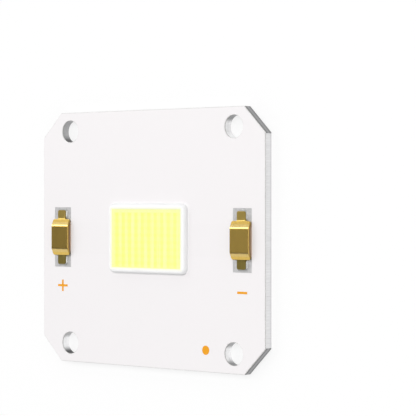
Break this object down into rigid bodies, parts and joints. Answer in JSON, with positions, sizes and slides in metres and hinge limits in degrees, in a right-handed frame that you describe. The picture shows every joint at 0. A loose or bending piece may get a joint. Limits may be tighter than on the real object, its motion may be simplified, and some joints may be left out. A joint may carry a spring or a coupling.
{
  "type": "cob led",
  "caption": "Flat white metal-core board with cut corners and screw holes, a raised yellow rectangular light surface in a white dam, and gold bridge terminals.",
  "frame": {"origin": "middle of the bare back face, which it lies on", "axes": "+X along the board from the positive terminal to the negative one, +Y towards the board's upper side (the plus and minus signs lie on the -Y side of the terminals), +Z out of the front face"},
  "size_m": [0.046, 0.04, 0.0023],
  "materials": {
    "aluminium_plate": "brushed back, milled edges",
    "dielectric": "thin filled epoxy",
    "tinned_copper": "satin tinned copper foil",
    "white_mask": "satin white solder mask",
    "chip": "polished sapphire",
    "bond_wire": "drawn gold wire",
    "white_silicone": "smooth white silicone bead",
    "phosphor_gel": "satin silicone filled with yellow phosphor",
    "gold_sheet": "gold-plated stamped sheet",
    "solder": "bright solder",
    "orange_ink": "printed ink"
  },
  "bodies": {
    "root": {"base_plate": "aluminium_plate", "dielectric_layer": "dielectric", "track_positive": "tinned_copper", "track_negative": "tinned_copper", "solder_mask": "white_mask", "chip_string_1": "chip", "chip_string_2": "chip", "chip_string_3": "chip", "chip_string_4": "chip", "chip_string_5": "chip", "chip_string_6": "chip", "chip_string_7": "chip", "chip_string_8": "chip", "bond_wires_1": "bond_wire", "bond_wires_2": "bond_wire", "bond_wires_3": "bond_wire", "bond_wires_4": "bond_wire", "bond_wires_5": "bond_wire", "bond_wires_6": "bond_wire", "bond_wires_7": "bond_wire", "bond_wires_8": "bond_wire", "dam_ring": "white_silicone", "phosphor_fill": "phosphor_gel", "terminal_positive": "gold_sheet", "terminal_negative": "gold_sheet", "solder_positive_upper": "solder", "solder_positive_lower": "solder", "solder_negative_upper": "solder", "solder_negative_lower": "solder", "plus_mark": "orange_ink", "minus_mark": "orange_ink", "dot_mark": "orange_ink"}
  },
  "joints": []
}
